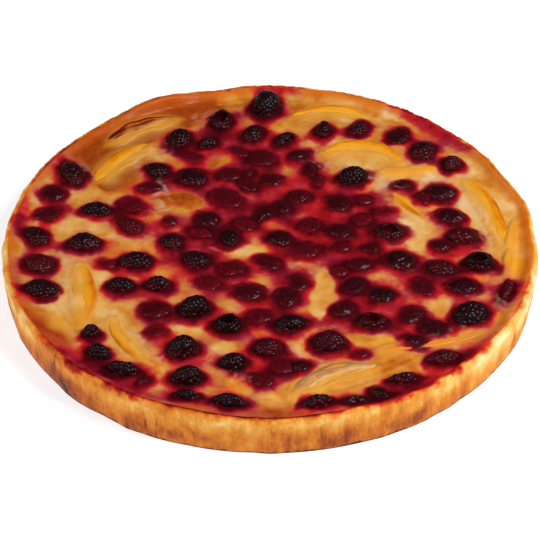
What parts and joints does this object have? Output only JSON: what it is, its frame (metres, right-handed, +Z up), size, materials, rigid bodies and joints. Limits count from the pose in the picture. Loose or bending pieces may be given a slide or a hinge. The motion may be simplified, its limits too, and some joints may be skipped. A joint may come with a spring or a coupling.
{
  "type": "fruit tart",
  "caption": "Large round tart: a straight-sided baked pastry shell filled with golden custard, with dark berries and fruit slices sunk in the top.",
  "frame": {"origin": "middle of the flat underside of the pastry", "axes": "+Z up through the tart; -Y is the side the picture was taken from; +X is to its right"},
  "size_m": [0.2801, 0.2811, 0.0325],
  "materials": {
    "pastry": "dry baked crust",
    "custard": "glazed baked custard",
    "berry": "wet dark berry skin",
    "fruit": "glazed soft fruit"
  },
  "bodies": {
    "root": {"pastry_shell": "pastry", "custard": "custard", "berry_01": "berry", "berry_02": "berry", "berry_03": "berry", "berry_04": "berry", "berry_05": "berry", "berry_06": "berry", "berry_07": "berry", "berry_08": "berry", "berry_09": "berry", "berry_10": "berry", "berry_11": "berry", "berry_12": "berry", "berry_13": "berry", "berry_14": "berry", "berry_15": "berry", "berry_16": "berry", "berry_17": "berry", "berry_18": "berry", "berry_19": "berry", "berry_20": "berry", "berry_21": "berry", "berry_22": "berry", "berry_23": "berry", "berry_24": "berry", "berry_25": "berry", "berry_26": "berry", "berry_27": "berry", "berry_28": "berry", "berry_29": "berry", "berry_30": "berry", "berry_31": "berry", "berry_32": "berry", "berry_33": "berry", "berry_34": "berry", "berry_35": "berry", "berry_36": "berry", "berry_37": "berry", "berry_38": "berry", "berry_39": "berry", "berry_40": "berry", "berry_41": "berry", "berry_42": "berry", "berry_43": "berry", "berry_44": "berry", "berry_45": "berry", "berry_46": "berry", "berry_47": "berry", "berry_48": "berry", "fruit_slice_01": "fruit", "fruit_slice_02": "fruit", "fruit_slice_03": "fruit", "fruit_slice_04": "fruit", "fruit_slice_05": "fruit", "fruit_slice_06": "fruit", "fruit_slice_07": "fruit", "fruit_slice_08": "fruit", "fruit_slice_09": "fruit", "fruit_slice_10": "fruit"}
  },
  "joints": []
}
